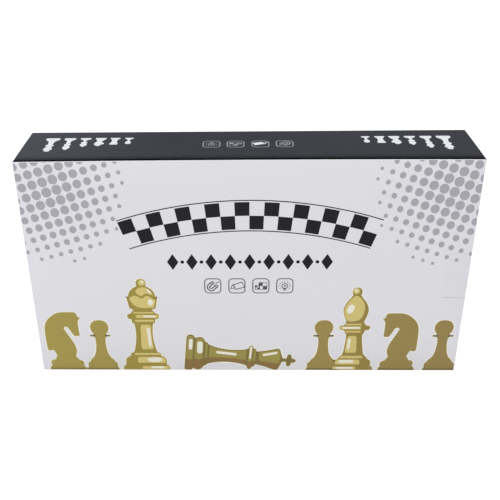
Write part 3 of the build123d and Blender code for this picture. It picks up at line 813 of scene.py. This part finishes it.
def foam(name, hex_code, cell_mm, depth_mm, rough):
    """Closed-cell foam: cut cells as shallow pits with thin walls between, and no sheen. Each cell is
    painted darker towards its middle, as shade in the pit.
    """
    made, tree, shader, mm = material(name)
    # Painted shade: darker towards the middle of each cell, where the pits are deepest.
    cells = add(tree, "TexVoronoi", {"Vector": mm, "Scale": 1 / cell_mm})
    shade = add(tree, "MapRange", {"Value": cells, "From Max": 0.7, "To Min": 0.88, "To Max": 1.04})
    clouds = add(tree, "TexNoise", {"Vector": mm, "Scale": 0.05, "Detail": 3.0})
    warm = add(tree, "MapRange", {"Value": clouds, "To Min": 0.94, "To Max": 1.05})
    tone = add(tree, "Math", {0: shade, 1: warm}, operation="MULTIPLY")
    base = add(tree, "Mix", {0: 1.0, 6: colour(hex_code), 7: tone}, **TINT)
    bump = add(tree, "Bump", {"Height": cells, "Strength": 0.6, "Distance": depth_mm * MM})
    plug(tree, shader, {"Base Color": base, "Normal": bump, "Roughness": rough,
        "Specular IOR Level": 0.25})
    return made


def blocked_out(xs, ys, zs, filled):
    """A closed mesh of the boxes between the given planes that filled() says are solid."""
    bm = bmesh.new()
    corner = {}

    def at_corner(i, j, k):
        if (i, j, k) not in corner:
            corner[i, j, k] = bm.verts.new((xs[i], ys[j], zs[k]))
        return corner[i, j, k]

    solid = {(i, j, k) for i in range(len(xs) - 1) for j in range(len(ys) - 1)
        for k in range(len(zs) - 1) if filled(i, j, k)}
    square = ((0, 0), (1, 0), (1, 1), (0, 1))
    for cell in solid:
        for axis in range(3):
            for side in (0, 1):
                beside = list(cell)
                beside[axis] += 1 if side else -1
                if tuple(beside) in solid:
                    continue
                others = [a for a in range(3) if a != axis]
                loop = []
                for u, w in square:
                    place = list(cell)
                    place[axis] += side
                    place[others[0]] += u
                    place[others[1]] += w
                    loop.append(at_corner(*place))
                bm.faces.new(loop)
    bmesh.ops.recalc_face_normals(bm, faces=bm.faces)
    return bm


white_foam = foam("white_polyethylene_foam", "#e9e9e6", CELL_MM, 0.35, 0.85)
cradle_low, cradle_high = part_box("foam_cradle")
board_low, board_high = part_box("back_panel")
cheek = board_low.x - BOARD_CLEARANCE
rest_top = board_low.z - BOARD_CLEARANCE
pad_front = board_high.y + BOARD_CLEARANCE
bm = blocked_out((cradle_low.x, cheek, -cheek, cradle_high.x),
    (cradle_low.y, pad_front, cradle_high.y), (cradle_low.z, rest_top, cradle_high.z),
    lambda i, j, k: j == 1 or k == 0 or i != 1)
sharp = [e for e in bm.edges if e.is_manifold and e.calc_face_angle(0) > radians(30)]
ease(bm, sharp, SAWN_ROUND)
cradle = finish_mesh("white_foam_cradle", bm, (white_foam,), "base")
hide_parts("foam_cradle")


# Board: beech rails finger-jointed at the corners under a birch panel, all stained walnut and
# lacquered, with maple and walnut veneer squares let into the playing face.
def grain_stretch(along, share):
    """Scales that draw a pattern out along one axis."""
    return [share if axis == along else 1.0 for axis in "XYZ"]


def planed_wood(name, light, dark, along, ring_mm, pore_mm, rough=0.34, coat=0.35, tile_mm=0.0):
    """Planed wood under satin lacquer: growth rings stretched along the grain, short dark pores,
    and a thin clear coat. With tile_mm every inlaid square has its own tone and cut."""
    made, tree, shader, mm = material(name)
    start = mm
    if tile_mm:
        cell = add(tree, "VectorMath", {0: mm, 1: (1 / tile_mm,) * 3}, operation="MULTIPLY")
        shift = add(tree, "VectorMath", {0: cell, 1: (0.0, 0.0, 0.17)}, operation="ADD")
        whole = add(tree, "VectorMath", {0: shift}, operation="FLOOR")
        flat = add(tree, "VectorMath", {0: whole, 1: (1.0, 0.0, 1.0)}, operation="MULTIPLY")
        own = add(tree, "TexWhiteNoise", {"Vector": flat}, noise_dimensions="3D")
        moved = add(tree, "VectorMath", {0: own.outputs["Color"], 1: (300.0,) * 3},
            operation="MULTIPLY")
        start = add(tree, "VectorMath", {0: mm, 1: moved}, operation="ADD")
    drawn = add(tree, "VectorMath", {0: start, 1: grain_stretch(along, 0.06)}, operation="MULTIPLY")
    rings = add(tree, "TexNoise", {"Vector": drawn, "Scale": 1 / ring_mm, "Detail": 5.0,
        "Roughness": 0.55, "Distortion": 1.2})
    thin = add(tree, "VectorMath", {0: start, 1: grain_stretch(along, 0.12)}, operation="MULTIPLY")
    pores = add(tree, "TexNoise", {"Vector": thin, "Scale": 1 / pore_mm, "Detail": 2.0})
    ramp = add(tree, "ValToRGB", {"Fac": rings})
    for stop, place, hex_code in zip(ramp.color_ramp.elements, (0.36, 0.64), (dark, light)):
        stop.position, stop.color = place, colour(hex_code)
    open_pores = add(tree, "MapRange", {"Value": pores, "From Min": 0.36, "From Max": 0.46,
        "To Min": 0.72, "To Max": 1.0})
    base = add(tree, "Mix", {0: 1.0, 6: ramp, 7: open_pores}, **TINT)
    if tile_mm:
        tone = add(tree, "MapRange", {"Value": own, "To Min": 0.88, "To Max": 1.1})
        base = add(tree, "Mix", {0: 1.0, 6: base, 7: tone}, **TINT)
    relief = add(tree, "Bump", {"Height": open_pores, "Strength": 0.25, "Distance": 0.08 * MM})
    gloss = add(tree, "MapRange", {"Value": rings, "To Min": rough + 0.08, "To Max": rough - 0.04})
    plug(tree, shader, {"Base Color": base, "Normal": relief, "Roughness": gloss, "IOR": 1.5,
        "Coat Weight": coat, "Coat Roughness": 0.22})
    return made


def dress(node, paint):
    """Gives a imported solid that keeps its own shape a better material."""
    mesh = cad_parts[node].data
    mesh.materials.clear()
    mesh.materials.append(paint)


beech_along = planed_wood("stained_beech_rail", "#8a5836", "#693e24", "X", 3.2, 0.5)
beech_up = planed_wood("stained_beech_end_rail", "#855434", "#643b23", "Z", 3.2, 0.5)
birch_panel = planed_wood("stained_birch_panel", "#7a4a2d", "#5c3620", "X", 4.5, 0.45)
walnut = planed_wood("walnut_veneer_square", "#5b3a26", "#3c2517", "X", 2.8, 0.45, tile_mm=42.0)
maple = planed_wood("maple_veneer_square", "#dcbd8a", "#cba771", "X", 4.2, 0.5, tile_mm=42.0)
for half in ("back", "front"):
    dress(f"{half}_side_rails", beech_along)
    dress(f"{half}_end_rails", beech_up)
    dress(f"{half}_panel", birch_panel)
    dress(f"{half}_dark_squares", walnut)
    dress(f"{half}_light_squares", maple)


# Steel, brass and nickel: the tinned sheet behind the squares that the men's magnets hold to,
# brass leaves rolled round brass pins, slotted screws, and nickel-plated catch magnets.
def drawn_metal(name, hex_code, rough, grain_mm, along, dull=0.08):
    """Bare metal with the fine lines of its rolling or drawing, drawn coarser to show."""
    made, tree, shader, mm = material(name)
    drawn = add(tree, "VectorMath", {0: mm, 1: grain_stretch(along, 0.04)}, operation="MULTIPLY")
    lines = add(tree, "TexNoise", {"Vector": drawn, "Scale": 1 / grain_mm, "Detail": 3.0})
    tone = add(tree, "MapRange", {"Value": lines, "To Min": 0.9, "To Max": 1.08})
    base = add(tree, "Mix", {0: 1.0, 6: colour(hex_code), 7: tone}, **TINT)
    spread = add(tree, "MapRange", {"Value": lines, "To Min": rough - dull, "To Max": rough + dull})
    bump = add(tree, "Bump", {"Height": lines, "Strength": 0.15, "Distance": 0.04 * MM})
    plug(tree, shader, {"Base Color": base, "Roughness": spread, "Normal": bump, "Metallic": 1.0})
    return made


tinned_sheet = drawn_metal("tinned_steel_sheet", "#b9bbbd", 0.38, 0.8, "X")
rolled_brass = drawn_metal("rolled_brass", "#d2aa58", 0.28, 0.5, "X")
turned_brass = drawn_metal("turned_brass", "#d8b262", 0.24, 0.4, "Y")
nickel = drawn_metal("nickel_plate", "#c9c7c1", 0.2, 0.6, "Z", 0.04)
for half in ("back", "front"):
    dress(f"{half}_steel_sheet", tinned_sheet)
    dress(f"{half}_hinge_leaves", rolled_brass)
    dress(f"{half}_catch_magnets", nickel)
dress("hinge_pins", turned_brass)

# The countersunk screws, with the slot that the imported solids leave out.
SCREW_HEAD, SCREW_SLOT, SLOT_DEPTH = 1.7 * MM, 0.5 * MM, 0.35 * MM
SCREW_SLOT_ANGLES, HINGE_X, SCREW_STEP = (20, 75, 140, 50), 115 * MM, 11 * MM
SCREW_CONE = ((1.0, 0.0), (0.8, 0.24), (0.53, 0.5))
SCREW_PLACES = [hinge + side * SCREW_STEP for hinge in (-HINGE_X, HINGE_X) for side in (-1, 1)]
SCREW_ROW_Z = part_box("back_hinge_screws")[0].z + SCREW_HEAD
for half, inward in (("back", 1), ("front", -1)):
    screw_low, screw_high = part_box(f"{half}_hinge_screws")
    rim = screw_low.y if inward > 0 else screw_high.y
    bm = bmesh.new()
    for x, slot_angle in zip(SCREW_PLACES, SCREW_SLOT_ANGLES):
        spin = Matrix.Rotation(radians(slot_angle), 2)
        for side in (1, -1):
            edge = asin(SCREW_SLOT / 2 / SCREW_HEAD)
            arc = [edge + (pi - 2 * edge) * k / 14 for k in range(15)]
            rounds = []
            for radius, sink in SCREW_CONE:
                ring = []
                for t in arc:
                    p = spin @ Vector((cos(t), side * sin(t))) * SCREW_HEAD * radius
                    ring.append(bm.verts.new((x + p.x, rim + inward * sink * SCREW_HEAD,
                        SCREW_ROW_Z + p.y)))
                rounds.append(ring)
            bm.faces.new(rounds[0])
            loft(bm, rounds)
        floor_ring = [spin @ Vector((sx * SCREW_HEAD * 0.9, sy * SCREW_SLOT * 0.6))
            for sx, sy in SQUARE_CORNERS]
        bm.faces.new([bm.verts.new((x + p.x, rim + inward * SLOT_DEPTH, SCREW_ROW_Z + p.y))
            for p in floor_ring])
    heads = finish_mesh(f"{half}_slotted_screws", bm, (turned_brass,), f"board_{half}")
    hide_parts(f"{half}_hinge_screws")


# Inserts: black EVA foam, die-cut with a slot for every man and pressed into each half. The
# blade leaves rounded corners, and the cut edges are pulled in softly.
EDGE_ROUND, SLOT_CORNER, FLOOR_ROUND = 0.9 * MM, 2.6 * MM, 0.8 * MM
MAN_CLEARANCE, DISC_THICK = 0.3 * MM, 2.0 * MM
COLUMN_PITCH = 46 * MM
MEN = {"king": (64.0, 21.2, (4,)), "queen": (58.0, 21.2, (3,)), "bishops": (50.0, 19.0, (2, 5)),
    "knights": (46.0, 19.0, (1, 6)), "rooks": (41.0, 19.0, (0, 7)),
    "pawns": (36.0, 17.0, range(8))}
black_foam = foam("black_eva_foam", "#232326", 0.9, 0.22, 0.78)
TALL_ROW_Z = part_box("white_king")[0].z - DISC_THICK
PAWN_ROW_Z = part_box("white_pawns")[0].z - DISC_THICK


def seats(kind, half):
    """Where each man of a kind stands in its half: the middle of its felt, on the slot's axis."""
    low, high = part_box(f"{'white' if half == 'back' else 'black'}_{kind}")
    row_z = PAWN_ROW_Z if kind == "pawns" else TALL_ROW_Z
    return [Vector((COLUMN_PITCH * (column - 3.5), (low.y + high.y) / 2, row_z))
        for column in MEN[kind][2]]


for half, inward in (("back", 1), ("front", -1)):
    insert_low, insert_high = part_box(f"{half}_insert")
    mouth, bottom = (insert_low.y, insert_high.y)[::inward]
    bm = bmesh.new()

    def skirt(low_x, high_x, low_z, high_z, corner_radius, grows, floor_y, floor_round):
        """The wall below one cut edge, rounded over at the mouth. Returns its top edges."""
        levels = [(EDGE_ROUND * (1 - sin(pi / 2 * k / 3)), EDGE_ROUND * (1 - cos(pi / 2 * k / 3)))
            for k in range(4)]
        levels.append((0.0, abs(floor_y - mouth) - floor_round))
        if floor_round:
            levels += [(-grows * floor_round * (1 - cos(pi / 2 * k / 2)),
                abs(floor_y - mouth) - floor_round * (1 - sin(pi / 2 * k / 2))) for k in (1, 2)]
        loops = []
        for out, down in levels:
            g = grows * out
            outline = rounded_outline(low_x - g, high_x + g, low_z - g, high_z + g,
                max(corner_radius + g, 0.2 * MM))
            loops.append([bm.verts.new((x, mouth + inward * down, z)) for x, z in outline])
        loft(bm, loops)
        bm.faces.new(loops[-1])
        return [bm.edges.get((loops[0][k - 1], loops[0][k])) for k in range(len(loops[0]))]

    rims = skirt(insert_low.x, insert_high.x, insert_low.z, insert_high.z, 1.0 * MM, -1, bottom, 0)
    for kind, (height_mm, foot_mm, _) in MEN.items():
        side = foot_mm / 2 * MM + MAN_CLEARANCE
        for seat in seats(kind, half):
            rims += skirt(seat.x - side, seat.x + side, seat.z - MAN_CLEARANCE,
                seat.z + height_mm * MM + MAN_CLEARANCE, SLOT_CORNER, 1, seat.y + inward * side,
                FLOOR_ROUND)
    bmesh.ops.triangle_fill(bm, edges=rims, use_beauty=True)
    insert = finish_mesh(f"{half}_foam_insert", bm, (black_foam,), f"board_{half}")
    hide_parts(f"{half}_insert")


# Men: turned in maple, one side left pale and one stained black, under clear lacquer. The
# knights' heads are carved, and each man stands on a disc of magnet faced with green felt.
TURN_STEPS = 26
pale_men = planed_wood("turned_maple_man", "#dfc08c", "#cfab74", "Z", 2.4, 0.45, 0.3, 0.5)
black_men = planed_wood("ebonised_maple_man", "#27211d", "#17130f", "Z", 2.4, 0.45, 0.28, 0.5)
green_felt, tree, shader, mm = material("green_wool_felt")
fibres = add(tree, "TexNoise", {"Vector": mm, "Scale": 2.6, "Detail": 6.0, "Roughness": 0.7})
nap = add(tree, "MapRange", {"Value": fibres, "To Min": 0.6, "To Max": 1.35})
felted = add(tree, "Mix", {0: 1.0, 6: colour("#2c5b3c"), 7: nap}, **TINT)
pile = add(tree, "Bump", {"Height": fibres, "Strength": 0.8, "Distance": 0.3 * MM})
plug(tree, shader, {"Base Color": felted, "Normal": pile, "Roughness": 0.95, "Sheen Weight": 0.4,
    "Specular IOR Level": 0.2})

# Half outlines in shares of the foot's radius and of the man's height over his felt. They are
# cut to the same pattern: foot, waist, collar, then the head that tells the men apart.
TURNED_FOOT = [(0.96, 0), (1, 0.012), (1, 0.05, 1), (0.9, 0.066, 1), (0.93, 0.1), (0.8, 0.14),
    (0.66, 0.15, 1), (0.6, 0.18)]


def shank(collar, waist=0.36):
    """The waist and the collar over it, with a fillet on each side of the collar."""
    return [(waist * 1.25, 0.18 + (collar - 0.18) * 0.3), (waist, 0.18 + (collar - 0.18) * 0.7),
        (waist, collar - 0.045, 1), (0.46, collar - 0.04), (0.46, collar - 0.022, 1),
        (0.64, collar - 0.014), (0.68, collar), (0.64, collar + 0.012), (0.46, collar + 0.018, 1)]


HALF_OUTLINES = {
    "pawns": TURNED_FOOT + shank(0.62) + [(0.36, 0.66, 1), (0.56, 0.71), (0.66, 0.82),
        (0.56, 0.93), (0.25, 0.99), (0, 1)],
    "rooks": TURNED_FOOT + shank(0.66, 0.44) + [(0.5, 0.7), (0.66, 0.76), (0.74, 0.8, 1),
        (0.74, 0.9, 1), (0, 0.9)],
    "bishops": TURNED_FOOT + shank(0.58) + [(0.32, 0.61, 1), (0.54, 0.68), (0.6, 0.75),
        (0.48, 0.84), (0.2, 0.91), (0.12, 0.92, 1), (0.21, 0.955), (0.16, 0.985), (0, 1)],
    "queen": TURNED_FOOT + shank(0.68, 0.34) + [(0.32, 0.71, 1), (0.42, 0.76), (0.64, 0.885, 1),
        (0.52, 0.88, 1), (0.4, 0.905), (0.14, 0.925, 1), (0.21, 0.96), (0.15, 0.99), (0, 1)],
    "king": TURNED_FOOT + shank(0.66) + [(0.34, 0.69, 1), (0.44, 0.75), (0.62, 0.845, 1),
        (0.5, 0.862), (0.24, 0.878), (0.16, 0.885, 1), (0, 0.888)],
    "knights": TURNED_FOOT + [(0.62, 0.2, 1), (0, 0.2)],
}
KNIGHT_OUTLINE = [(-0.5, 0.16, 1), (0.48, 0.16, 1), (0.62, 0.27), (0.62, 0.4), (0.34, 0.56),
    (0.16, 0.66), (0.2, 0.7), (0.42, 0.64), (0.66, 0.585, 1), (0.84, 0.6), (0.92, 0.65),
    (0.86, 0.72), (0.66, 0.8), (0.5, 0.88), (0.4, 0.92), (0.3, 1, 1), (0.14, 0.95),
    (-0.1, 0.945, 1), (-0.3, 0.905, 1), (-0.27, 0.87, 1), (-0.54, 0.81, 1), (-0.49, 0.77, 1),
    (-0.73, 0.69, 1), (-0.66, 0.65, 1), (-0.84, 0.55, 1), (-0.75, 0.51, 1), (-0.85, 0.4, 1),
    (-0.74, 0.37), (-0.72, 0.29), (-0.6, 0.21)]
HEAD_HALF_THICK, HEAD_ROUND, HEAD_BASE, HEAD_SLICES = 4.1 * MM, 1.3 * MM, 0.17, 16
HEAD_TAPER, TAPER_FROM_UP, TAPER_FROM_OUT, HEAD_THINNEST = 0.62, 0.4, 0.2, 0.35
EYE_PLACE, EYE_RADIUS = (0.42, 0.8), 0.9 * MM
NOSTRIL_PLACE, NOSTRIL_RADIUS = (0.76, 0.66), 0.45 * MM
ROOK_WALL, ROOK_CROWN, MERLON_HALF_TURN = (0.46, 0.74), (0.9, 1), 0.6
CROSS_STEM, CROSS_STEM_MIDDLE, CROSS_STEM_HALF = 1.25 * MM, 0.9425, 0.06
CROSS_ARMS, CROSS_ARMS_MIDDLE, CROSS_EASE = (3.1 * MM, 1.2 * MM, 1.25 * MM), 0.947, 0.4 * MM
DISC_INSET = 0.6 * MM


def lathe(bm, seat, half_outline, foot_radius, tall):
    """Turns a half outline about the man's axis."""
    rings = []
    for p in through(half_outline, 3):
        spot = Vector((seat.x, seat.y, seat.z + p.y * tall))
        if p.x < 0.01:
            rings.append([bm.verts.new(spot)])
            continue
        rings.append([bm.verts.new(spot + Vector((cos(t), sin(t), 0)) * p.x * foot_radius)
            for t in [2 * pi * k / TURN_STEPS for k in range(TURN_STEPS)]])
    bm.faces.new(rings[0])
    loft(bm, rings)


def carved_head(bm, seat, foot_radius, tall):
    """A horse's head sawn from the flat, thinned towards the nose and ears and eased all round."""
    made = bmesh.new()
    outline = through(KNIGHT_OUTLINE, 4)
    outline = [p for i, p in enumerate(outline) if (p - outline[i - 1]).length > 1e-4]
    sides = []
    for way in (-1, 1):
        sides.append([made.verts.new((p.x * foot_radius, way * HEAD_HALF_THICK, p.y * tall))
            for p in outline])
        made.faces.new(sides[-1])
    loft(made, sides)
    bmesh.ops.recalc_face_normals(made, faces=made.faces)
    rim = [e for e in made.edges if any(len(f.verts) > 8 for f in e.link_faces)]
    ease(made, rim, HEAD_ROUND)
    bmesh.ops.triangulate(made, faces=[f for f in made.faces if len(f.verts) > 4])
    rise = 1 - HEAD_BASE
    slice_through(made, 2, [tall * (HEAD_BASE + rise * k / HEAD_SLICES)
        for k in range(1, HEAD_SLICES)])
    for place, radius in ((EYE_PLACE, EYE_RADIUS), (NOSTRIL_PLACE, NOSTRIL_RADIUS)):
        for way in (-1, 1):
            bead = bmesh.ops.create_icosphere(made, subdivisions=2, radius=radius)["verts"]
            for v in bead:
                v.co += Vector((place[0] * foot_radius, way * HEAD_HALF_THICK, place[1] * tall))
    for v in made.verts:
        up = max(0.0, v.co.z / tall - TAPER_FROM_UP)
        out = max(0.0, v.co.x / foot_radius - TAPER_FROM_OUT)
        v.co.y *= max(HEAD_THINNEST, 1 - HEAD_TAPER * up ** 2 - HEAD_TAPER * out ** 2)
        v.co += seat
    mesh = bpy.data.meshes.new("head")
    made.to_mesh(mesh)
    made.free()
    bm.from_mesh(mesh)
    bpy.data.meshes.remove(mesh)


def wedge(bm, seat, radii, heights, turns, steps=5):
    """A curved block between two radii, heights and angles, as a merlon of the rook is."""
    rows = []
    for k in range(steps + 1):
        t = turns[0] + (turns[1] - turns[0]) * k / steps
        way = Vector((cos(t), sin(t), 0))
        rows.append([bm.verts.new(seat + way * r + Vector((0, 0, z)))
            for r, z in ((radii[0], heights[0]), (radii[1], heights[0]), (radii[1], heights[1]),
            (radii[0], heights[1]))])
    bm.faces.new(rows[0])
    bm.faces.new(rows[-1])
    loft(bm, rows)


def cross_piece(bm, seat, height, half_size):
    """A small block with eased edges, for the stem and the arms of the king's cross."""
    made = bmesh.ops.create_cube(bm, size=2.0)["verts"]
    centre = seat + Vector((0, 0, height))
    for v in made:
        v.co = centre + Vector([v.co[i] * half_size[i] for i in range(3)])
    ease(bm, {e for v in made for e in v.link_edges}, CROSS_EASE, 2)


for side, half, paint, slot_name in (("white", "back", pale_men, "maple_men"),
        ("black", "front", black_men, "ebonised_men")):
    discs = bmesh.new()
    for kind, (height_mm, foot_mm, _) in MEN.items():
        bm = bmesh.new()
        foot_radius, tall = foot_mm / 2 * MM, height_mm * MM - DISC_THICK
        for felt_seat in seats(kind, half):
            seat = felt_seat + Vector((0, 0, DISC_THICK))
            lathe(bm, seat, HALF_OUTLINES[kind], foot_radius, tall)
            disc_radius = foot_radius - DISC_INSET
            lathe(discs, felt_seat, [(0.97, 0), (1, 0.08, 1), (1, 1, 1), (0, 1)], disc_radius,
                2.0 * MM)
            if kind == "knights":
                carved_head(bm, seat, foot_radius, tall)
            if kind == "rooks":
                for quarter in range(4):
                    middle = pi / 4 + quarter * pi / 2
                    wedge(bm, seat, [share * foot_radius for share in ROOK_WALL],
                        [share * tall for share in ROOK_CROWN],
                        (middle - MERLON_HALF_TURN, middle + MERLON_HALF_TURN))
            if kind == "king":
                cross_piece(bm, seat, CROSS_STEM_MIDDLE * tall,
                    (CROSS_STEM, CROSS_STEM, CROSS_STEM_HALF * tall))
                cross_piece(bm, seat, CROSS_ARMS_MIDDLE * tall, CROSS_ARMS)
        turned = finish_mesh(f"{side}_{kind}_turned", bm, (paint,), f"board_{half}", 40)
        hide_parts(f"{side}_{kind}")
    felts = finish_mesh(f"{side}_felt_discs", discs, (green_felt,), f"board_{half}",
        40)
    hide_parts(f"{side}_magnet_discs")
